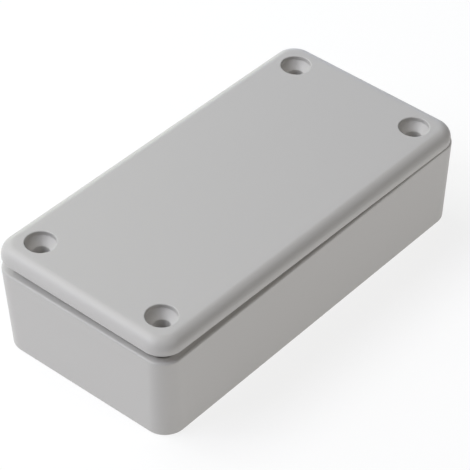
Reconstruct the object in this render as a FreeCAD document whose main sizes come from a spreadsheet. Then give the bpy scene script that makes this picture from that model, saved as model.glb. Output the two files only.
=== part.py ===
import FreeCAD, Part
import math
import os
import Sketcher

# A two-part moulded project box: a drafted base, and a lid with a locating lip that fits
# inside the walls, resting on the base before its four corner screws go in.
# Millimetres; +X is the length, +Y the width, +Z up, origin at the middle of the underside.

os.makedirs("parts", exist_ok=True)
doc = FreeCAD.newDocument("project_box")

sheet = doc.addObject("Spreadsheet::Sheet", "Sizes")
sizes = {
    "box_length": 100.0,
    "box_width": 50.0,
    "rim_height": 22.0,
    "corner_radius": 4.8,
    "draft_angle": 2.0,
    "wall_thickness": 2.0,
    "floor_thickness": 2.0,
    "foot_round": 0.5,
    "rim_round": 0.5,
    "edge_land": 0.6,
    "floor_round": 0.8,
    "screw_inset": 7.6,
    "pillar_diameter": 7.0,
    "pillar_below_rim": 3.2,
    "web_thickness": 1.4,
    "web_below_rim": 3.4,
    "pilot_diameter": 2.8,
    "pilot_depth": 12.0,
    "rib_thickness": 1.0,
    "rib_height_off_wall": 1.2,
    "rib_below_rim": 3.8,
    "rib_lead_in": 0.6,
    "board_slot": 1.8,
    "slot_pitch": 26.0,
    "standoff_diameter": 5.0,
    "standoff_height": 3.0,
    "standoff_pitch_x": 60.0,
    "standoff_pitch_y": 30.0,
    "standoff_hole": 2.2,
    "standoff_hole_depth": 4.0,
    "lid_height": 3.6,
    "lid_corner_radius": 5.3,
    "lid_top_round": 2.7,
    "lid_edge_chamfer": 0.2,
    "lid_plate": 2.0,
    "lip_clearance": 0.3,
    "lip_thickness": 1.0,
    "lip_depth": 3.0,
    "boss_diameter": 7.4,
    "screw_clearance": 4.0,
    "head_diameter": 7.0,
    "head_recess": 1.2,
    "head_angle": 90.0,
    "mouth_chamfer": 0.3,
    "lean_along": 1.13,
    "lean_across": 0.78,
    "lid_shift_x": 0.05,
    "lid_shift_y": 0.12,
}
for row, (name, value) in enumerate(sizes.items(), start=1):
    sheet.set(f"A{row}", name)
    sheet.set(f"B{row}", str(value))
    sheet.setAlias(f"B{row}", name)
doc.recompute()


def plane_of(body, role):
    for feature in body.Origin.OriginFeatures:
        if feature.Role == role:
            return feature


def new_sketch(body, name, role, offset=None):
    sketch = body.newObject("Sketcher::SketchObject", name)
    sketch.AttachmentSupport = [(plane_of(body, role), "")]
    sketch.MapMode = "FlatFace"
    if offset:
        sketch.setExpression("AttachmentOffset.Base.z", offset)
    doc.recompute()
    return sketch


def bind(sketch, constraint, expression):
    index = sketch.addConstraint(constraint)
    sketch.setExpression(f"Constraints[{index}]", expression)
    return index


def rounded_rectangle(sketch, length, width, radius, near):
    # A rectangle with rounded corners about the sketch origin, drawn near its size and then bound.
    inset, corner = near
    half_x = sizes["box_length"] / 2 - inset
    half_y = sizes["box_width"] / 2 - inset
    mid_x = half_x - corner
    mid_y = half_y - corner
    up = FreeCAD.Vector(0, 0, 1)
    first = sketch.GeometryCount
    ends = [
        ((-mid_x, -half_y), (mid_x, -half_y)),
        ((half_x, -mid_y), (half_x, mid_y)),
        ((mid_x, half_y), (-mid_x, half_y)),
        ((-half_x, mid_y), (-half_x, -mid_y)),
    ]
    for start, end in ends:
        sketch.addGeometry(Part.LineSegment(FreeCAD.Vector(*start, 0), FreeCAD.Vector(*end, 0)))
    centres = [(mid_x, -mid_y), (mid_x, mid_y), (-mid_x, mid_y), (-mid_x, -mid_y)]
    for quarter, centre in enumerate(centres):
        circle = Part.Circle(FreeCAD.Vector(*centre, 0), up, corner)
        begin = math.radians(90 * quarter - 90)
        sketch.addGeometry(Part.ArcOfCircle(circle, begin, begin + math.pi / 2))
    for side in range(4):
        line = first + side
        arc = first + 4 + side
        following = first + (side + 1) % 4
        sketch.addConstraint(Sketcher.Constraint("Tangent", line, 2, arc, 1))
        sketch.addConstraint(Sketcher.Constraint("Tangent", arc, 2, following, 1))
    sketch.addConstraint(Sketcher.Constraint("Horizontal", first))
    sketch.addConstraint(Sketcher.Constraint("Vertical", first + 1))
    sketch.addConstraint(Sketcher.Constraint("Horizontal", first + 2))
    sketch.addConstraint(Sketcher.Constraint("Vertical", first + 3))
    for arc in range(first + 5, first + 8):
        sketch.addConstraint(Sketcher.Constraint("Equal", first + 4, arc))
    sketch.addConstraint(Sketcher.Constraint("Symmetric", first + 5, 3, first + 7, 3, -1, 1))
    bind(sketch, Sketcher.Constraint("Radius", first + 4, corner), radius)
    bind(sketch, Sketcher.Constraint("DistanceX", first + 3, 1, first + 1, 1, 2 * half_x), length)
    bind(sketch, Sketcher.Constraint("DistanceY", first, 1, first + 2, 1, 2 * half_y), width)


def outline(body, name, inset, inset_value, radius="corner_radius"):
    # The box outline set in from its outer face by an expression, on the body's level plane.
    sketch = new_sketch(body, name, "XY_Plane")
    rounded_rectangle(
        sketch,
        f"Sizes.box_length - 2 * ({inset})",
        f"Sizes.box_width - 2 * ({inset})",
        f"Sizes.{radius} - ({inset})",
        (inset_value, sizes[radius] - inset_value),
    )
    return sketch


def rectangle(sketch, left, right, low, high, near):
    # A rectangle bound by four expressions for its sides, all measured from the sketch origin.
    x0, x1, y0, y1 = near
    first = sketch.GeometryCount
    corners = [(x0, y0), (x1, y0), (x1, y1), (x0, y1)]
    for index in range(4):
        start = FreeCAD.Vector(*corners[index], 0)
        end = FreeCAD.Vector(*corners[(index + 1) % 4], 0)
        sketch.addGeometry(Part.LineSegment(start, end))
    for index in range(4):
        following = first + (index + 1) % 4
        sketch.addConstraint(Sketcher.Constraint("Coincident", first + index, 2, following, 1))
    sketch.addConstraint(Sketcher.Constraint("Horizontal", first))
    sketch.addConstraint(Sketcher.Constraint("Vertical", first + 1))
    sketch.addConstraint(Sketcher.Constraint("Horizontal", first + 2))
    sketch.addConstraint(Sketcher.Constraint("Vertical", first + 3))
    bind(sketch, Sketcher.Constraint("DistanceX", -1, 1, first, 1, x0), left)
    bind(sketch, Sketcher.Constraint("DistanceX", -1, 1, first, 2, x1), right)
    bind(sketch, Sketcher.Constraint("DistanceY", -1, 1, first, 1, y0), low)
    bind(sketch, Sketcher.Constraint("DistanceY", -1, 1, first + 2, 1, y1), high)


def circle(sketch, centre_x, centre_y, diameter, near):
    x, y, size = near
    shape = Part.Circle(FreeCAD.Vector(x, y, 0), FreeCAD.Vector(0, 0, 1), size / 2)
    index = sketch.addGeometry(shape)
    bind(sketch, Sketcher.Constraint("DistanceX", -1, 1, index, 3, x), centre_x)
    bind(sketch, Sketcher.Constraint("DistanceY", -1, 1, index, 3, y), centre_y)
    bind(sketch, Sketcher.Constraint("Diameter", index, size), diameter)


def profile(sketch, points):
    # A closed run of straight lines; each point is (x, y, x expression, y expression).
    first = sketch.GeometryCount
    count = len(points)
    for index in range(count):
        x0, y0 = points[index][:2]
        x1, y1 = points[(index + 1) % count][:2]
        line = Part.LineSegment(FreeCAD.Vector(x0, y0, 0), FreeCAD.Vector(x1, y1, 0))
        sketch.addGeometry(line)
    for index in range(count):
        following = first + (index + 1) % count
        sketch.addConstraint(Sketcher.Constraint("Coincident", first + index, 2, following, 1))
    for index, (x, y, x_bound, y_bound) in enumerate(points):
        line = first + index
        bind(sketch, Sketcher.Constraint("DistanceX", -1, 1, line, 1, x), x_bound)
        bind(sketch, Sketcher.Constraint("DistanceY", -1, 1, line, 1, y), y_bound)


def pad(body, name, sketch, length, down=False):
    feature = body.newObject("PartDesign::Pad", name)
    feature.Profile = sketch
    feature.Reversed = down
    feature.setExpression("Length", length)
    doc.recompute()
    return feature


def pocket(body, name, sketch, length, up=False, taper=None):
    feature = body.newObject("PartDesign::Pocket", name)
    feature.Profile = sketch
    feature.Reversed = up
    feature.setExpression("Length", length)
    if taper:
        feature.setExpression("TaperAngle", taper)
    doc.recompute()
    return feature


def edges_at(feature, height):
    # Names of the edges that lie wholly in one level plane.
    names = []
    for number, edge in enumerate(feature.Shape.Edges, start=1):
        box = edge.BoundBox
        if abs(box.ZMin - height) < 1e-4 and abs(box.ZMax - height) < 1e-4:
            names.append(f"Edge{number}")
    return names


def fillet(body, name, base, height, radius):
    feature = body.newObject("PartDesign::Fillet", name)
    feature.Base = (base, edges_at(base, height))
    feature.setExpression("Radius", radius)
    doc.recompute()
    return feature


def repeat(body, name, originals, steps):
    # Copies of some features: each step is a mirror plane, or a run of (count, spacing) along X.
    feature = body.newObject("PartDesign::MultiTransform", name)
    feature.Originals = originals
    parts = []
    for number, step in enumerate(steps, start=1):
        if isinstance(step, str):
            part = body.newObject("PartDesign::Mirrored", f"{name}_mirror_{number}")
            part.MirrorPlane = (plane_of(body, step), [""])
        else:
            count, spacing = step
            part = body.newObject("PartDesign::LinearPattern", f"{name}_row_{number}")
            part.Direction = (plane_of(body, "X_Axis"), [""])
            part.Mode = "Spacing"
            part.Occurrences = count
            part.setExpression("Offset", spacing)
        parts.append(part)
    feature.Transformations = parts
    body.Tip = feature
    doc.recompute()
    return feature


def new_body(name):
    body = doc.addObject("PartDesign::Body", name)
    body.Label = name
    return body


# Base: between a short upright land at the rim and one at the foot the walls lean out by the
# draft, and the corners keep one radius all the way. The lands carry the rounded edges.
base = new_body("base")
corner = sizes["corner_radius"]
rim_outline = new_sketch(base, "rim_outline", "XY_Plane", "Sizes.rim_height - Sizes.edge_land")
rounded_rectangle(
    rim_outline, "Sizes.box_length", "Sizes.box_width", "Sizes.corner_radius", (0.0, corner)
)
rim_land = pad(base, "rim_land", rim_outline, "Sizes.edge_land")
foot_outline = new_sketch(base, "foot_outline", "XY_Plane", "Sizes.edge_land")
draft_height = sizes["rim_height"] - 2 * sizes["edge_land"]
foot_inset = math.tan(math.radians(sizes["draft_angle"])) * draft_height
foot_bound = "tan(Sizes.draft_angle * 1 deg) * (Sizes.rim_height - 2 * Sizes.edge_land)"
rounded_rectangle(
    foot_outline,
    f"Sizes.box_length - 2 * {foot_bound}",
    f"Sizes.box_width - 2 * {foot_bound}",
    "Sizes.corner_radius",
    (foot_inset, corner),
)
walls = base.newObject("PartDesign::AdditiveLoft", "walls")
walls.Profile = rim_outline
walls.Sections = [foot_outline]
walls.Ruled = True
doc.recompute()
foot_land = pad(base, "foot_land", foot_outline, "Sizes.edge_land", down=True)
foot_edge = fillet(base, "foot_edge", foot_land, 0.0, "Sizes.foot_round")
rim_edge = fillet(base, "rim_edge", foot_edge, sizes["rim_height"], "Sizes.rim_round")

# The cavity narrows to the floor by the same draft.
cavity_outline = new_sketch(base, "cavity_outline", "XY_Plane", "Sizes.rim_height")
wall_in = sizes["wall_thickness"]
rounded_rectangle(
    cavity_outline,
    "Sizes.box_length - 2 * Sizes.wall_thickness",
    "Sizes.box_width - 2 * Sizes.wall_thickness",
    "Sizes.corner_radius - Sizes.wall_thickness",
    (wall_in, corner - wall_in),
)
cavity = pocket(
    base,
    "cavity",
    cavity_outline,
    "Sizes.rim_height - Sizes.floor_thickness",
    taper="-Sizes.draft_angle",
)
floor_edge = fillet(base, "floor_edge", cavity, sizes["floor_thickness"], "Sizes.floor_round")

# A screw pillar in each corner, tied to both walls by webs. Its top stands below the rim and
# meets the boss of the lid.
pillar_x = "Sizes.box_length / 2 - Sizes.screw_inset"
pillar_y = "Sizes.box_width / 2 - Sizes.screw_inset"
near_x = sizes["box_length"] / 2 - sizes["screw_inset"]
near_y = sizes["box_width"] / 2 - sizes["screw_inset"]
pillar_sketch = new_sketch(
    base, "pillar_sketch", "XY_Plane", "Sizes.rim_height - Sizes.pillar_below_rim"
)
circle(
    pillar_sketch, pillar_x, pillar_y, "Sizes.pillar_diameter",
    (near_x, near_y, sizes["pillar_diameter"]),
)
pillar = pad(
    base,
    "pillar",
    pillar_sketch,
    "Sizes.rim_height - Sizes.pillar_below_rim - Sizes.floor_thickness",
    down=True,
)
web_sketch = new_sketch(base, "web_sketch", "XY_Plane", "Sizes.floor_thickness")
wall_x = "Sizes.box_length / 2 - 0.9 * Sizes.wall_thickness"
wall_y = "Sizes.box_width / 2 - 0.9 * Sizes.wall_thickness"
in_wall_x = sizes["box_length"] / 2 - 0.9 * sizes["wall_thickness"]
in_wall_y = sizes["box_width"] / 2 - 0.9 * sizes["wall_thickness"]
half_web = sizes["web_thickness"] / 2
rectangle(
    web_sketch,
    pillar_x,
    wall_x,
    f"{pillar_y} - Sizes.web_thickness / 2",
    f"{pillar_y} + Sizes.web_thickness / 2",
    (near_x, in_wall_x, near_y - half_web, near_y + half_web),
)
web_x = pad(
    base,
    "web_x",
    web_sketch,
    "Sizes.rim_height - Sizes.web_below_rim - Sizes.floor_thickness",
)
web_sketch_y = new_sketch(base, "web_sketch_y", "XY_Plane", "Sizes.floor_thickness")
rectangle(
    web_sketch_y,
    f"{pillar_x} - Sizes.web_thickness / 2",
    f"{pillar_x} + Sizes.web_thickness / 2",
    pillar_y,
    wall_y,
    (near_x - half_web, near_x + half_web, near_y, in_wall_y),
)
web_y = pad(
    base,
    "web_y",
    web_sketch_y,
    "Sizes.rim_height - Sizes.web_below_rim - Sizes.floor_thickness",
)
pilot_sketch = new_sketch(
    base, "pilot_sketch", "XY_Plane", "Sizes.rim_height - Sizes.pillar_below_rim"
)
circle(
    pilot_sketch, pillar_x, pillar_y, "Sizes.pilot_diameter",
    (near_x, near_y, sizes["pilot_diameter"]),
)
pilot = pocket(base, "pilot", pilot_sketch, "Sizes.pilot_depth")
pillars = repeat(base, "pillars", [pillar, web_x, web_y, pilot], ["YZ_Plane", "XZ_Plane"])

# Upright rib pairs on the long walls hold the edges of a circuit board; their inner edge
# follows the drafted wall and has a lead-in at the top.
lean = math.tan(math.radians(sizes["draft_angle"]))
rib_low = sizes["floor_thickness"]
rib_high = sizes["rim_height"] - sizes["rib_below_rim"]
wall_face = sizes["box_width"] / 2 - sizes["wall_thickness"]
low_y = wall_face - lean * (sizes["rim_height"] - rib_low)
high_y = wall_face - lean * sizes["rib_below_rim"]
low_bound = (
    "Sizes.box_width / 2 - Sizes.wall_thickness"
    " - tan(Sizes.draft_angle * 1 deg) * (Sizes.rim_height - Sizes.floor_thickness)"
)
high_bound = (
    "Sizes.box_width / 2 - Sizes.wall_thickness"
    " - tan(Sizes.draft_angle * 1 deg) * Sizes.rib_below_rim"
)
top_bound = "Sizes.rim_height - Sizes.rib_below_rim"
proud = sizes["rib_height_off_wall"]
buried = sizes["wall_thickness"] / 3
lead = sizes["rib_lead_in"]
rib_sketch = new_sketch(
    base,
    "rib_sketch",
    "YZ_Plane",
    "-Sizes.slot_pitch - Sizes.board_slot / 2 - Sizes.rib_thickness",
)
profile(
    rib_sketch,
    [
        (low_y - proud, rib_low, f"{low_bound} - Sizes.rib_height_off_wall", "Sizes.floor_thickness"),
        (low_y + buried, rib_low, f"{low_bound} + Sizes.wall_thickness / 3", "Sizes.floor_thickness"),
        (high_y + buried, rib_high, f"{high_bound} + Sizes.wall_thickness / 3", top_bound),
        (
            high_y - proud + lead,
            rib_high,
            f"{high_bound} - Sizes.rib_height_off_wall + Sizes.rib_lead_in",
            top_bound,
        ),
        (
            high_y - proud,
            rib_high - 2 * lead,
            f"{high_bound} - Sizes.rib_height_off_wall",
            f"{top_bound} - 2 * Sizes.rib_lead_in",
        ),
    ],
)
rib = pad(base, "rib", rib_sketch, "Sizes.rib_thickness")
ribs = repeat(
    base,
    "ribs",
    [rib],
    [(2, "Sizes.board_slot + Sizes.rib_thickness"), (3, "Sizes.slot_pitch"), "XZ_Plane"],
)

# Four stand-offs on the floor with blind pilot holes carry a flat board.
standoff_sketch = new_sketch(base, "standoff_sketch", "XY_Plane", "Sizes.floor_thickness")
circle(
    standoff_sketch,
    "Sizes.standoff_pitch_x / 2",
    "Sizes.standoff_pitch_y / 2",
    "Sizes.standoff_diameter",
    (sizes["standoff_pitch_x"] / 2, sizes["standoff_pitch_y"] / 2, sizes["standoff_diameter"]),
)
standoff = pad(base, "standoff", standoff_sketch, "Sizes.standoff_height")
standoff_hole_sketch = new_sketch(
    base, "standoff_hole_sketch", "XY_Plane", "Sizes.floor_thickness + Sizes.standoff_height"
)
circle(
    standoff_hole_sketch,
    "Sizes.standoff_pitch_x / 2",
    "Sizes.standoff_pitch_y / 2",
    "Sizes.standoff_hole",
    (sizes["standoff_pitch_x"] / 2, sizes["standoff_pitch_y"] / 2, sizes["standoff_hole"]),
)
standoff_hole = pocket(base, "standoff_hole", standoff_hole_sketch, "Sizes.standoff_hole_depth")
standoffs = repeat(base, "standoffs", [standoff, standoff_hole], ["YZ_Plane", "XZ_Plane"])

# Lid: drawn level about its own origin in the plane of its lower edge, then placed.
lid = new_body("lid")
lid_outline = outline(lid, "lid_outline", "0", 0.0, radius="lid_corner_radius")
plate = pad(lid, "plate", lid_outline, "Sizes.lid_height")
top_edge = fillet(lid, "top_edge", plate, sizes["lid_height"], "Sizes.lid_top_round")
lower_edge = lid.newObject("PartDesign::Chamfer", "lower_edge")
lower_edge.Base = (top_edge, edges_at(top_edge, 0.0))
lower_edge.setExpression("Size", "Sizes.lid_edge_chamfer")
doc.recompute()

# The lip fits inside the walls of the base; the underside is recessed from its inner face.
lip_outer = "Sizes.wall_thickness + Sizes.lip_clearance"
lip_inner = "Sizes.wall_thickness + Sizes.lip_clearance + Sizes.lip_thickness"
outer_inset = sizes["wall_thickness"] + sizes["lip_clearance"]
inner_inset = outer_inset + sizes["lip_thickness"]
recess_outline = outline(lid, "recess_outline", lip_inner, inner_inset)
recess = pocket(lid, "recess", recess_outline, "Sizes.lid_height - Sizes.lid_plate", up=True)
lip_outline = outline(lid, "lip_outline", lip_outer, outer_inset)
rounded_rectangle(
    lip_outline,
    f"Sizes.box_length - 2 * ({lip_inner})",
    f"Sizes.box_width - 2 * ({lip_inner})",
    f"Sizes.corner_radius - ({lip_inner})",
    (inner_inset, sizes["corner_radius"] - inner_inset),
)
lip = pad(lid, "lip", lip_outline, "Sizes.lip_depth", down=True)

# Screw bosses reach down as far as the lip, with a recessed, countersunk hole through each.
boss_sketch = new_sketch(lid, "boss_sketch", "XY_Plane", "-Sizes.lip_depth")
circle(boss_sketch, pillar_x, pillar_y, "Sizes.boss_diameter", (near_x, near_y, sizes["boss_diameter"]))
boss = pad(lid, "boss", boss_sketch, "Sizes.lip_depth + Sizes.lid_height - Sizes.lid_plate / 2")
hole_sketch = new_sketch(lid, "hole_sketch", "XZ_Plane", f"-({pillar_y})")
top = sizes["lid_height"]
foot = -sizes["lip_depth"] - 1
head = sizes["head_diameter"] / 2
shank = sizes["screw_clearance"] / 2
chamfer = sizes["mouth_chamfer"]
recess_z = top - sizes["head_recess"]
cone_z = recess_z - (head - shank) / math.tan(math.radians(sizes["head_angle"] / 2))
recess_bound = "Sizes.lid_height - Sizes.head_recess"
cone_bound = (
    f"{recess_bound} - (Sizes.head_diameter - Sizes.screw_clearance) / 2"
    " / tan(Sizes.head_angle / 2 * 1 deg)"
)
head_bound = f"{pillar_x} + Sizes.head_diameter / 2"
shank_bound = f"{pillar_x} + Sizes.screw_clearance / 2"
profile(
    hole_sketch,
    [
        (near_x, foot, pillar_x, "-Sizes.lip_depth - 1"),
        (near_x + shank, foot, shank_bound, "-Sizes.lip_depth - 1"),
        (near_x + shank, cone_z, shank_bound, cone_bound),
        (near_x + head, recess_z, head_bound, recess_bound),
        (near_x + head, top - chamfer, head_bound, "Sizes.lid_height - Sizes.mouth_chamfer"),
        (near_x + head + chamfer, top, f"{head_bound} + Sizes.mouth_chamfer", "Sizes.lid_height"),
        (near_x + head + chamfer, top + 1, f"{head_bound} + Sizes.mouth_chamfer", "Sizes.lid_height + 1"),
        (near_x, top + 1, pillar_x, "Sizes.lid_height + 1"),
    ],
)
hole = lid.newObject("PartDesign::Groove", "hole")
hole.Profile = hole_sketch
hole.ReferenceAxis = (hole_sketch, ["Edge8"])
hole.Angle = 360
doc.recompute()
holes = repeat(lid, "holes", [boss, hole], ["YZ_Plane", "XZ_Plane"])

# The lid is not pressed home: its edge rests on the rim at the +X, -Y corner and stands clear
# of it at the opposite one, where only the foot of the lip has entered the base.
lean = FreeCAD.Rotation(FreeCAD.Vector(1, 0, 0), sizes["lean_across"]).multiply(
    FreeCAD.Rotation(FreeCAD.Vector(0, 1, 0), sizes["lean_along"])
)
lid_up = lean.multVec(FreeCAD.Vector(0, 0, 1))
towards = FreeCAD.Vector(lid_up.x, lid_up.y, 0).normalize()
reach = sizes["corner_radius"] - sizes["rim_round"]
seat_x = sizes["box_length"] / 2 - sizes["corner_radius"] + reach * towards.x
seat_y = -sizes["box_width"] / 2 + sizes["corner_radius"] + reach * towards.y
rise = (
    lid_up.x * (seat_x - sizes["lid_shift_x"]) + lid_up.y * (seat_y - sizes["lid_shift_y"])
) / lid_up.z
lid.Placement = FreeCAD.Placement(
    FreeCAD.Vector(sizes["lid_shift_x"], sizes["lid_shift_y"], sizes["rim_height"] + rise),
    lean,
)
doc.recompute()

for item in doc.Objects:
    if "Invalid" in item.State or "Error" in item.State:
        raise RuntimeError(f"{item.Name} did not build")
for body in (base, lid):
    shape = body.Shape
    if shape.isNull() or not shape.isValid() or len(shape.Solids) != 1:
        raise RuntimeError(f"{body.Label} is not one valid solid")
    shape.exportStep(f"parts/{body.Label}.step")
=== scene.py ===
import math

import bpy
from mathutils import Matrix, Vector


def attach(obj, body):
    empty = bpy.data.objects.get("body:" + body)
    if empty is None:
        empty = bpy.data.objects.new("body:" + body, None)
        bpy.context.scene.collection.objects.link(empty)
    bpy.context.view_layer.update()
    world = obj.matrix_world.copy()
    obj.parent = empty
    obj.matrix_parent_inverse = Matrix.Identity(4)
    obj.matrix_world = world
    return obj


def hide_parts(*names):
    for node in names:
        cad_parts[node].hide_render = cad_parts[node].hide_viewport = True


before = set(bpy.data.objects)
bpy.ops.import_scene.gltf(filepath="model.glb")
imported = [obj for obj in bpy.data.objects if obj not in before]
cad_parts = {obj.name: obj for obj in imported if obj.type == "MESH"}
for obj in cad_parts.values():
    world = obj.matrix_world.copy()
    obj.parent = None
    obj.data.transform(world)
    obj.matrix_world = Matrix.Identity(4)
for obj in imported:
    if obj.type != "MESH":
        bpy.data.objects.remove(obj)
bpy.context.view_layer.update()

# -----------------------------------------------------------------------------------------
# Base: the lower moulding, in light grey ABS. Its walls lean out to the rim so that it
# leaves the mould, and its outer edges are broken by small rounds. Inside stand four screw
# pillars with webs to the walls, board ribs and four stand-offs, all moulded in one piece.
# -----------------------------------------------------------------------------------------
mm = 0.001
box_length, box_width, rim_height = 100 * mm, 50 * mm, 22 * mm
box_corner = 4.8 * mm
wall, floor_thickness = 2 * mm, 2 * mm
draft = math.tan(math.radians(2))
screw_inset = 7.6 * mm
screw_x, screw_y = box_length / 2 - screw_inset, box_width / 2 - screw_inset
past_end = 1 * mm  # how far a shape runs on into the plastic, or a cutter out of it


def bent_line(name, corners, steps=8):
    # An open string of edges through corners given as (across, up, round), each round a true
    # arc. A fourth value moves the centres of the box's upright corners in by that much.
    points = []
    for number, (across, up, size, *moved) in enumerate(corners):
        here = Vector((across, up))
        moved = sum(moved)
        if not size:
            points.append((across, moved, up))
            continue
        before = (Vector(corners[number - 1][:2]) - here).normalized()
        after = (Vector(corners[number + 1][:2]) - here).normalized()
        half = before.angle(after) / 2
        centre = here + (before + after).normalized() * size / math.sin(half)
        first = here + before * size / math.tan(half) - centre
        last = here + after * size / math.tan(half) - centre
        sweep = math.atan2(first.x * last.y - first.y * last.x, first.dot(last))
        for step in range(steps + 1):
            across, up = centre + Matrix.Rotation(sweep * step / steps, 2) @ first
            points.append((across, moved, up))
    mesh = bpy.data.meshes.new(name)
    edges = [(number, number + 1) for number in range(len(points) - 1)]
    mesh.from_pydata(points, edges, [])
    line = bpy.data.objects.new(name, mesh)
    bpy.context.scene.collection.objects.link(line)
    return line


def round_bar(name, radius, low, high):
    # Half the outline of an upright round bar, from its axis out and back.
    return bent_line(name, [(0, low, 0), (radius, low, 0), (radius, high, 0), (0, high, 0)])


class Bench:
    # One tree of nodes: lay() puts a node down, wires what it is given and hands on an output.
    def __init__(self, name, inputs, result="Geometry"):
        self.tree = bpy.data.node_groups.new(name, "GeometryNodeTree")
        sockets = self.tree.interface
        for label, kind in inputs:
            sockets.new_socket(label, in_out="INPUT", socket_type="NodeSocket" + kind)
        sockets.new_socket(result, in_out="OUTPUT", socket_type="NodeSocket" + result)
        self.given = self.tree.nodes.new("NodeGroupInput").outputs
        self.result = self.tree.nodes.new("NodeGroupOutput").inputs[0]

    def lay(self, kind, *wires, out=0, **settings):
        node = self.tree.nodes.new(kind)
        for key, value in settings.items():
            setattr(node, key, value)
        for number, value in enumerate(wires):
            for item in value if isinstance(value, list) else [value]:
                if isinstance(item, bpy.types.NodeSocket):
                    self.tree.links.new(item, node.inputs[number])
                elif item is not None:
                    node.inputs[number].default_value = item
        return node.outputs[out]

    def sum(self, operation, *terms, clamp=False):
        return self.lay("ShaderNodeMath", *terms, operation=operation, use_clamp=clamp)

    def use(self, tree, *wires):
        # Another tree as one node of this one.
        node = self.lay("GeometryNodeGroup", node_tree=tree).node
        for socket, value in zip(node.inputs, wires):
            self.tree.links.new(value, socket)
        return node.outputs[0]

    def finish(self, last):
        self.tree.links.new(last, self.result)


# A point on the rounded outline of the box. The step counts round it: an arc at each corner
# and one point on the straight at each end of that arc. The inset is measured from the
# outside. A corner has its radius less the inset, and more by what its centre is moved in.
box_sizes = ["Length", "Width", "Corner Radius", "Corner Steps"]
beyond_steps = 3  # an arc has one point more than steps, and two points are on the straights
onto_straight = 0.4 * mm


def numbers(*labels):
    return [(label, "Float") for label in labels]


own = numbers("Step", "Inset", "Moved In", "Height")
bench = Bench("outline_point", own + numbers(*box_sizes), "Vector")
given = bench.given
steps = given["Corner Steps"]
corner_points = bench.sum("ADD", steps, beyond_steps)
corner = bench.sum("FLOOR", bench.sum("DIVIDE", given["Step"], corner_points))
within = bench.sum("SUBTRACT", given["Step"], bench.sum("MULTIPLY", corner, corner_points))
share = bench.sum("DIVIDE", bench.sum("SUBTRACT", within, 1), steps, clamp=True)
angle = bench.sum("MULTIPLY", bench.sum("ADD", corner, share), math.pi / 2)
middle = bench.sum("MULTIPLY", bench.sum("ADD", corner, 0.5), math.pi / 2)
leaving = bench.sum("SUBTRACT", within, bench.sum("ADD", steps, 1), clamp=True)
coming = bench.sum("SUBTRACT", 1, within, clamp=True)
straight = bench.sum("MULTIPLY", bench.sum("SUBTRACT", leaving, coming), onto_straight)
to_centre = bench.sum("ADD", given["Corner Radius"], given["Moved In"])
reach = bench.sum("SUBTRACT", to_centre, given["Inset"])
axes = []
for size, turn, side, sign in (
    ("Length", "COSINE", "SINE", -1),
    ("Width", "SINE", "COSINE", 1),
):
    half = bench.sum("MULTIPLY_ADD", given[size], 0.5, bench.sum("MULTIPLY", to_centre, -1))
    centre = bench.sum("MULTIPLY", half, bench.sum("SIGN", bench.sum(turn, middle)))
    arc = bench.sum("MULTIPLY_ADD", reach, bench.sum(turn, angle), centre)
    slide = bench.sum("MULTIPLY", straight, sign)
    axes.append(bench.sum("MULTIPLY_ADD", slide, bench.sum(side, angle), arc))
bench.finish(bench.lay("ShaderNodeCombineXYZ", *axes, given["Height"]))
outline_point = bench.tree


def place_on_line(line, number):
    # The place of one point of a string of edges, as its three parts.
    place = bench.lay("GeometryNodeInputPosition")
    taken = bench.lay("GeometryNodeSampleIndex", line, place, number, data_type="FLOAT_VECTOR")
    return bench.lay("ShaderNodeSeparateXYZ", taken).node.outputs


def grid_of(turns, line):
    # A grid with the line's points one way and its turns the other. With it come the turn and
    # the point on the line that each point of the grid belongs to, and the line's count.
    count = bench.lay("GeometryNodeAttributeDomainSize", line)
    index = bench.lay("GeometryNodeInputIndex")
    turn = bench.sum("FLOOR", bench.sum("DIVIDE", index, count))
    on_line = bench.sum("SUBTRACT", index, bench.sum("MULTIPLY", turn, count))
    grid = bench.lay("GeometryNodeMeshGrid", 1, 1, bench.sum("ADD", turns, 1), count)
    return grid, turn, on_line, count


# A solid swept round the box's outline from a string of edges, which gives inset and height.
# A flat face closes it across the middle where the string begins, and another where it ends.
same_point = 0.001 * mm
bench = Bench("swept_round_box", [("Geometry", "Geometry")] + numbers(*box_sizes))
given = bench.given
corners = 4
corner_points = bench.sum("ADD", given["Corner Steps"], beyond_steps)
turn_points = bench.sum("MULTIPLY", corner_points, corners)
strip, turn, on_line, count = grid_of(turn_points, given["Geometry"])


def outline_at(step, number):
    parts = place_on_line(given["Geometry"], number)
    sizes = [given[label] for label in box_sizes]
    return bench.use(outline_point, step, parts["X"], parts["Y"], parts["Z"], *sizes)


skin = bench.lay("GeometryNodeSetPosition", strip, None, outline_at(turn, on_line))
disc = bench.lay("GeometryNodeMeshCircle", turn_points, fill_type="NGON")
index = bench.lay("GeometryNodeInputIndex")
first_face = bench.lay("GeometryNodeSetPosition", disc, None, outline_at(index, 0))
end = bench.sum("SUBTRACT", count, 1)
last_face = bench.lay("GeometryNodeSetPosition", disc, None, outline_at(index, end))
first_face = bench.lay("GeometryNodeFlipFaces", first_face)
whole = bench.lay("GeometryNodeJoinGeometry", [skin, first_face, last_face])
bench.finish(bench.lay("GeometryNodeMergeByDistance", whole, None, same_point))
swept_round_box = bench.tree

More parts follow.
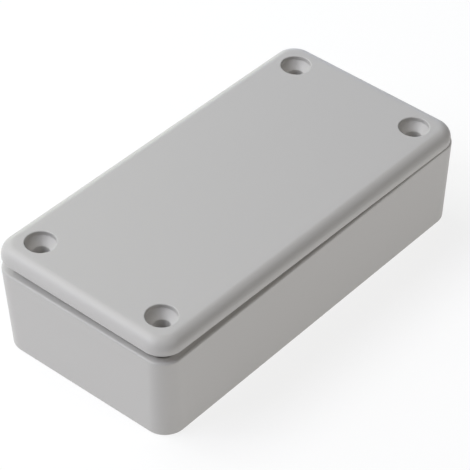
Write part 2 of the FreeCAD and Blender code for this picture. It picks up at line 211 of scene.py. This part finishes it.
# A solid turned round the upright axis from a string of edges, which gives radius and height.
bench = Bench("turned", [("Geometry", "Geometry")] + numbers("Turn Steps"))
given = bench.given
strip, turn, on_line, count = grid_of(given["Turn Steps"], given["Geometry"])
parts = place_on_line(given["Geometry"], on_line)
angle = bench.sum("DIVIDE", bench.sum("MULTIPLY", turn, 2 * math.pi), given["Turn Steps"])
x = bench.sum("MULTIPLY", parts["X"], bench.sum("COSINE", angle))
y = bench.sum("MULTIPLY", parts["X"], bench.sum("SINE", angle))
point = bench.lay("ShaderNodeCombineXYZ", x, y, parts["Z"])
skin = bench.lay("GeometryNodeSetPosition", strip, None, point)
bench.finish(bench.lay("GeometryNodeMergeByDistance", skin, None, same_point))
turned = bench.tree


def sized(thing, tree, sizes):
    # The tree on an object, with its named sizes filled in.
    modifier = thing.modifiers.new(tree.name, "NODES")
    modifier.node_group = tree
    named = {socket.name: socket.identifier for socket in tree.interface.items_tree}
    for label, value in sizes.items():
        modifier[named[label]] = value


def plain_mesh(thing, name):
    # The evaluated object as a plain mesh, which takes its place.
    depsgraph = bpy.context.evaluated_depsgraph_get()
    mesh = bpy.data.meshes.new_from_object(thing.evaluated_get(depsgraph))
    bpy.data.objects.remove(thing)
    mesh.name = name
    solid = bpy.data.objects.new(name, mesh)
    bpy.context.scene.collection.objects.link(solid)
    return solid


def made_solid(thing, name):
    # Smooth over its rounds, sharp at its corners, and flat where a round runs into a flat.
    sharp_from = math.radians(28)
    solid = plain_mesh(thing, name)
    solid.data.shade_smooth()
    solid.data.set_sharp_from_angle(angle=sharp_from)
    flats = solid.modifiers.new("flats", "WEIGHTED_NORMAL")
    flats.keep_sharp = True
    return plain_mesh(solid, name)


# Everything inside the base is added to its hollow shell, and then the holes that screws bite
# into are taken out of the pillars and the stand-offs.
bench = Bench(
    "box_base",
    [("Geometry", "Geometry")]
    + numbers(*box_sizes)
    + [(n, "Object") for n in ("Pillar", "Pilot", "Stand-off", "Stand-off Hole", "Rib")]
    + numbers("Turn Steps", "Floor", "Slot Pitch", "Rib Gap")
    + [(n, "Vector") for n in ("Screw Pitch", "Stand-off Pitch", "Web Along")]
    + [(n, "Vector") for n in ("Web Along Pitch", "Web Across", "Web Across Pitch")]
    + [("Plastic", "Material")],
)
given = bench.given


def four_of(shape, pitch):
    # One shape at each corner of a rectangle of the given pitch.
    parts = bench.lay("ShaderNodeSeparateXYZ", pitch).node.outputs
    spots = bench.lay("GeometryNodeMeshGrid", parts["X"], parts["Y"], 2, 2)
    return bench.lay("GeometryNodeInstanceOnPoints", spots, None, shape)


def turned_from(label):
    line = bench.lay("GeometryNodeObjectInfo", given[label], out="Geometry")
    return bench.use(turned, line, given["Turn Steps"])


def web(size, pitch):
    block = bench.lay("GeometryNodeMeshCube", size)
    height = bench.lay("ShaderNodeSeparateXYZ", size, out="Z")
    middle = bench.sum("MULTIPLY_ADD", height, 0.5, given["Floor"])
    lift = bench.lay("ShaderNodeCombineXYZ", 0, 0, middle)
    return four_of(bench.lay("GeometryNodeTransform", block, lift), pitch)


def row(shape, pitch, count):
    # A centred row of one shape along the length.
    start = bench.sum("MULTIPLY", pitch, -(count - 1) / 2)
    first = bench.lay("ShaderNodeCombineXYZ", start, 0, 0)
    onwards = bench.lay("ShaderNodeCombineXYZ", pitch, 0, 0)
    spots = bench.lay("GeometryNodeMeshLine", count, None, first, onwards)
    return bench.lay("GeometryNodeInstanceOnPoints", spots, None, shape)


def boolean(operation, solid, others):
    return bench.lay(
        "GeometryNodeMeshBoolean", solid, others, operation=operation, solver="MANIFOLD"
    )


def finish_in_plastic(solid):
    solid = bench.lay("GeometryNodeRealizeInstances", solid)
    bench.finish(bench.lay("GeometryNodeSetMaterial", solid, None, given["Plastic"]))


shell_inputs = ["Geometry"] + box_sizes
shell = bench.use(swept_round_box, *(given[label] for label in shell_inputs))
rib = bench.lay("GeometryNodeObjectInfo", given["Rib"], out="Geometry")
ribs = row(row(rib, given["Rib Gap"], 2), given["Slot Pitch"], 3)
ribs = bench.lay("GeometryNodeRealizeInstances", ribs)
far_ribs = bench.lay("GeometryNodeTransform", ribs, None, (0, 0, math.pi))
added = [
    shell,
    four_of(turned_from("Pillar"), given["Screw Pitch"]),
    four_of(turned_from("Stand-off"), given["Stand-off Pitch"]),
    web(given["Web Along"], given["Web Along Pitch"]),
    web(given["Web Across"], given["Web Across Pitch"]),
    ribs,
    far_ribs,
]
taken_out = [
    four_of(turned_from("Pilot"), given["Screw Pitch"]),
    four_of(turned_from("Stand-off Hole"), given["Stand-off Pitch"]),
]
finish_in_plastic(boolean("DIFFERENCE", boolean("UNION", None, added), taken_out))
box_base = bench.tree

# The wall goes from the underside round the foot, up to the rim, and down inside to the
# floor, and flat faces close it across the middle. Upright lands at foot and rim carry the
# edge rounds, and the foot's corners are a little rounder than the rim's.
land, edge_round, floor_round = 0.6 * mm, 0.5 * mm, 0.8 * mm
flat_from = 4.6 * mm
foot = (rim_height - 2 * land) * draft
foot_moved = foot + 0.3 * mm
beside_round = foot + 1.1 * mm
inner_foot = wall + (rim_height - floor_thickness) * draft
base_wall = bent_line(
    "base_wall",
    [
        (flat_from, 0, 0, foot_moved),
        (beside_round, 0, 0, foot_moved),
        (foot, 0, edge_round, foot_moved),
        (foot, land, 0, foot_moved),
        (0, rim_height - land, 0),
        (0, rim_height, edge_round),
        (wall, rim_height, 0),
        (inner_foot, floor_thickness, floor_round),
        (flat_from, floor_thickness, 0),
    ],
)
pillar_top, web_top = rim_height - 3.2 * mm, rim_height - 3.4 * mm
pillar_radius, pilot_radius, pilot_depth = 3.5 * mm, 1.4 * mm, 12 * mm
in_floor = floor_thickness - past_end
pillar = round_bar("pillar", pillar_radius, in_floor, pillar_top)
pilot = round_bar("pilot", pilot_radius, pillar_top - pilot_depth, rim_height + past_end)
standoff_top = floor_thickness + 3 * mm
standoff_radius, hole_radius, hole_depth = 2.5 * mm, 1.1 * mm, 4 * mm
hole_foot = standoff_top - hole_depth
standoff = round_bar("standoff", standoff_radius, in_floor, standoff_top)
standoff_hole = round_bar("standoff_hole", hole_radius, hole_foot, standoff_top + past_end)

# One board rib. Its back is buried in the drafted wall, and its nose has a lead-in at the top
# so that a board finds the slot between two of them.
rib_thickness, rib_proud, rib_buried, rib_lead = 1 * mm, 1.2 * mm, 0.6 * mm, 0.6 * mm
board_slot, slot_pitch, below_rim = 1.8 * mm, 26 * mm, 3.8 * mm
rib_top, rib_foot = rim_height - below_rim, floor_thickness - 0.2 * mm
low_face = box_width / 2 - inner_foot
high_face = box_width / 2 - wall - below_rim * draft
rib_side = [
    (low_face - rib_proud, rib_foot),
    (low_face + rib_buried, rib_foot),
    (high_face + rib_buried, rib_top),
    (high_face - rib_proud + rib_lead, rib_top),
    (high_face - rib_proud, rib_top - 2 * rib_lead),
]
around = len(rib_side)
near, far = range(around), range(around, 2 * around)
rib_mesh = bpy.data.meshes.new("rib")
rib_mesh.from_pydata(
    [(x, y, z) for x in (-rib_thickness / 2, rib_thickness / 2) for y, z in rib_side],
    [],
    [tuple(reversed(near)), tuple(far)]
    + [(n, (n + 1) % around, (n + 1) % around + around, n + around) for n in near],
)
rib = bpy.data.objects.new("rib", rib_mesh)
bpy.context.scene.collection.objects.link(rib)

# The webs run from the middle of a pillar into the wall, but not through it.
web_thickness, into_wall = 1.4 * mm, 0.9 * wall
web_height = web_top - floor_thickness
reach_x = box_length / 2 - into_wall - screw_x
reach_y = box_width / 2 - into_wall - screw_y
sized(
    base_wall,
    box_base,
    {
        "Length": box_length,
        "Width": box_width,
        "Corner Radius": box_corner,
        "Corner Steps": 24.0,
        "Turn Steps": 48.0,
        "Pillar": pillar,
        "Pilot": pilot,
        "Stand-off": standoff,
        "Stand-off Hole": standoff_hole,
        "Rib": rib,
        "Floor": floor_thickness,
        "Slot Pitch": slot_pitch,
        "Rib Gap": board_slot + rib_thickness,
        "Screw Pitch": (2 * screw_x, 2 * screw_y, 0),
        "Stand-off Pitch": (60 * mm, 30 * mm, 0),
        "Web Along": (reach_x, web_thickness, web_height),
        "Web Along Pitch": (2 * screw_x + reach_x, 2 * screw_y, 0),
        "Web Across": (web_thickness, reach_y, web_height),
        "Web Across Pitch": (2 * screw_x, 2 * screw_y + reach_y, 0),
    },
)
base = made_solid(base_wall, "box_base")
for tool in (pillar, pilot, standoff, standoff_hole, rib):
    bpy.data.objects.remove(tool)


def moulded_abs(name):
    # Light grey ABS with the fine even grain of a spark-eroded mould, about 0.1 mm across.
    plastic = bpy.data.materials.new(name)
    plastic.use_nodes = True
    nodes, links = plastic.node_tree.nodes, plastic.node_tree.links
    shader = nodes["Principled BSDF"]
    shader.inputs["Base Color"].default_value = (0.56, 0.545, 0.53, 1)
    shader.inputs["Roughness"].default_value = 0.5
    at = nodes.new("ShaderNodeTexCoord").outputs["Object"]
    grain = nodes.new("ShaderNodeTexNoise")
    grain.inputs["Scale"].default_value = 9000
    grain.inputs["Detail"].default_value = 2
    links.new(at, grain.inputs["Vector"])
    bump = nodes.new("ShaderNodeBump")
    bump.inputs["Strength"].default_value = 0.25
    bump.inputs["Distance"].default_value = 0.01 * mm
    links.new(grain.outputs["Fac"], bump.inputs["Height"])
    links.new(bump.outputs["Normal"], shader.inputs["Normal"])
    return plastic


base.data.materials.clear()
base.data.materials.append(moulded_abs("base_abs"))
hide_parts("base")
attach(base, "root")

# -----------------------------------------------------------------------------------------
# Lid: the upper moulding, in the same ABS. A shallow tray turned over, with a large round on
# its top edge, a lip that fits inside the walls, and a boss at each corner with a recessed,
# countersunk screw hole. No screws are in: one corner sits on the rim, the opposite is up.
# -----------------------------------------------------------------------------------------
lid_height, lid_plate, lid_corner = 3.6 * mm, 2 * mm, 5.3 * mm
lid_round, lower_round, end_round = 2.8 * mm, 0.08 * mm, 0.2 * mm
lip_outer, lip_inner, lip_depth = 2.3 * mm, 3.3 * mm, 3 * mm
ceiling = lid_height - lid_plate
beside_lip, under_edge = lip_inner + 0.4 * mm, 0.7 * mm
beside_round, flat_from = lid_round + 0.5 * mm, lid_round + 0.8 * mm
as_base = box_corner - lid_corner  # the lip turns round the base's corners, not the lid's
lid_rim = bent_line(
    "lid_rim",
    [
        (beside_lip, ceiling, 0, as_base),
        (lip_inner, ceiling, 0, as_base),
        (lip_inner, -lip_depth, end_round, as_base),
        (lip_outer, -lip_depth, end_round, as_base),
        (lip_outer, 0, 0, as_base),
        (under_edge, 0, 0),
        (0, 0, lower_round),
        (0, lid_height, lid_round),
        (beside_round, lid_height, 0),
        (flat_from, lid_height, 0),
    ],
    steps=14,
)
boss_radius, boss_top = 3.7 * mm, ceiling + past_end
boss = bent_line(
    "boss",
    [
        (0, -lip_depth, 0),
        (boss_radius, -lip_depth, end_round),
        (boss_radius, boss_top, 0),
        (0, boss_top, 0),
    ],
)
shank_radius, head_radius, recess_depth, cone_depth = 2 * mm, 3.5 * mm, 1 * mm, 1.9 * mm
mouth_round, recess_foot_round, beside_mouth = 0.25 * mm, 0.3 * mm, head_radius + 0.3 * mm
recess_foot = lid_height - recess_depth
under_boss, over_lid = -lip_depth - past_end, lid_height + past_end
screw_hole = bent_line(
    "screw_hole",
    [
        (0, under_boss, 0),
        (shank_radius, under_boss, 0),
        (shank_radius, recess_foot - cone_depth, end_round),
        (head_radius, recess_foot, recess_foot_round),
        (head_radius, lid_height, mouth_round),
        (beside_mouth, lid_height, 0),
        (beside_mouth, over_lid, 0),
        (0, over_lid, 0),
    ],
)

bench = Bench(
    "box_lid",
    [("Geometry", "Geometry")]
    + numbers(*box_sizes)
    + numbers("Turn Steps")
    + [("Boss", "Object"), ("Screw Hole", "Object")]
    + [("Screw Pitch", "Vector"), ("Plastic", "Material")],
)
given = bench.given
tray = bench.use(swept_round_box, *(given[label] for label in shell_inputs))
bosses = four_of(turned_from("Boss"), given["Screw Pitch"])
holes = four_of(turned_from("Screw Hole"), given["Screw Pitch"])
finish_in_plastic(boolean("DIFFERENCE", boolean("UNION", None, [tray, bosses]), holes))
sized(
    lid_rim,
    bench.tree,
    {
        "Length": box_length,
        "Width": box_width,
        "Corner Radius": lid_corner,
        "Corner Steps": 32.0,
        "Turn Steps": 96.0,
        "Boss": boss,
        "Screw Hole": screw_hole,
        "Screw Pitch": (2 * screw_x, 2 * screw_y, 0),
    },
)
lid = made_solid(lid_rim, "box_lid")
for tool in (boss, screw_hole):
    bpy.data.objects.remove(tool)

# It lies askew on the rim: leaned both ways about the corner that touches, and shifted.
lean_across, lean_along = math.radians(0.78), math.radians(1.13)
shift_x, shift_y = 0.05 * mm, 0.12 * mm
lean = Matrix.Rotation(lean_across, 3, "X") @ Matrix.Rotation(lean_along, 3, "Y")
lid_up = lean @ Vector((0, 0, 1))
towards = Vector((lid_up.x, lid_up.y)).normalized() * (box_corner - edge_round)
seat_x = box_length / 2 - box_corner + towards.x
seat_y = -box_width / 2 + box_corner + towards.y
rise = (lid_up.x * (seat_x - shift_x) + lid_up.y * (seat_y - shift_y)) / lid_up.z
lid_place = Matrix.Translation((shift_x, shift_y, rim_height + rise))
lid.data.transform(lid_place @ lean.to_4x4())
lid.data.materials.clear()
lid.data.materials.append(moulded_abs("lid_abs"))
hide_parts("lid")
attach(lid, "root")

# -----------------------------------------------------------------------------------------
# Floor: a plain white sheet, wide enough to run out of every view. It is lit evenly from
# below, as on a light table, so that the box leaves only a faint shadow on it.
# -----------------------------------------------------------------------------------------
side = 3.0  # metres from the box to each side of the sheet
sheet_corners = [(-side, -side, 0), (side, -side, 0), (side, side, 0), (-side, side, 0)]
floor_mesh = bpy.data.meshes.new("floor")
floor_mesh.from_pydata(sheet_corners, [], [(0, 1, 2, 3)])
floor = bpy.data.objects.new("floor", floor_mesh)
bpy.context.scene.collection.objects.link(floor)
white = bpy.data.materials.new("white_sheet")
white.use_nodes = True
sheet = white.node_tree.nodes["Principled BSDF"]
sheet.inputs["Base Color"].default_value = (0.2, 0.2, 0.2, 1)
sheet.inputs["Roughness"].default_value = 0.9
sheet.inputs["Emission Color"].default_value = (1, 1, 1, 1)
sheet.inputs["Emission Strength"].default_value = 0.8
floor_mesh.materials.append(white)


# -----------------------------------------------------------------------------------------
# Light: soft boxes a metre from the object, in an otherwise dark room. The strong ones stand
# high behind it and to its left, and the weak ones take the edge off the sides in shade.
# -----------------------------------------------------------------------------------------
def direction(azimuth, elevation):
    # Away from the object: azimuth 0 is out of its -Y side, and 90 degrees out of its +X end.
    level = math.cos(elevation)
    across, along = math.sin(azimuth) * level, -math.cos(azimuth) * level
    return Vector((across, along, math.sin(elevation)))


def softbox(name, azimuth, elevation, size, power, tint):
    light = bpy.data.lights.new(name, "AREA")
    light.shape = "SQUARE"
    light.size = size
    light.energy = power
    light.color = tint
    lamp = bpy.data.objects.new(name, light)
    lamp.location = direction(math.radians(azimuth), math.radians(elevation))
    lamp.rotation_euler = lamp.location.to_track_quat("Z", "Y").to_euler()
    bpy.context.scene.collection.objects.link(lamp)


softbox("key", 212, 45, 0.5, 3.67, (0.98, 0.99, 0.96))
softbox("left", 240, 45, 0.5, 4.2, (0.85, 0.89, 1))
softbox("top_back", 180, 62, 0.5, 2.95, (1, 1, 1))
softbox("front_top", 8, 45, 0.5, 1.77, (1, 0.98, 0.94))
softbox("right_back", 125, 10, 0.4, 1.2, (0.5, 0.6, 1))
softbox("back_low", 150, 14, 0.45, 1.65, (0.88, 1, 0.81))
room = bpy.data.worlds.new("room")
room.use_nodes = True
room.node_tree.nodes["Background"].inputs["Strength"].default_value = 0.0
bpy.context.scene.world = room
bpy.context.scene.view_settings.view_transform = "Standard"

# -----------------------------------------------------------------------------------------
# Camera: a long lens, high above the near end and turned a little on its axis. It is moved
# right and down by part of a millimetre, which puts the box in its place in the frame.
# -----------------------------------------------------------------------------------------
azimuth, elevation, roll = -0.84753, 0.71446, -0.01218
distance = 0.54252
aim = Vector((0, 0, 12.5 * mm))
moved_right, moved_down = 0.353 * mm, 0.56 * mm
focal_in_pixels, frame_in_pixels = 2428.4, 470
back = direction(azimuth, elevation)
right = (-back).cross(Vector((0, 0, 1))).normalized()
up = right.cross(-back)
right, up = (
    math.cos(roll) * right + math.sin(roll) * up,
    -math.sin(roll) * right + math.cos(roll) * up,
)
camera_data = bpy.data.cameras.new("camera")
camera_data.sensor_width = 36.0
camera_data.lens = camera_data.sensor_width * focal_in_pixels / frame_in_pixels
camera_data.clip_start = 0.01
camera_data.clip_end = 20.0
camera = bpy.data.objects.new("camera", camera_data)
place = Matrix((right, up, back)).transposed().to_4x4()
place.translation = aim + back * distance + right * moved_right - up * moved_down
camera.matrix_world = place
bpy.context.scene.collection.objects.link(camera)
bpy.context.scene.camera = camera
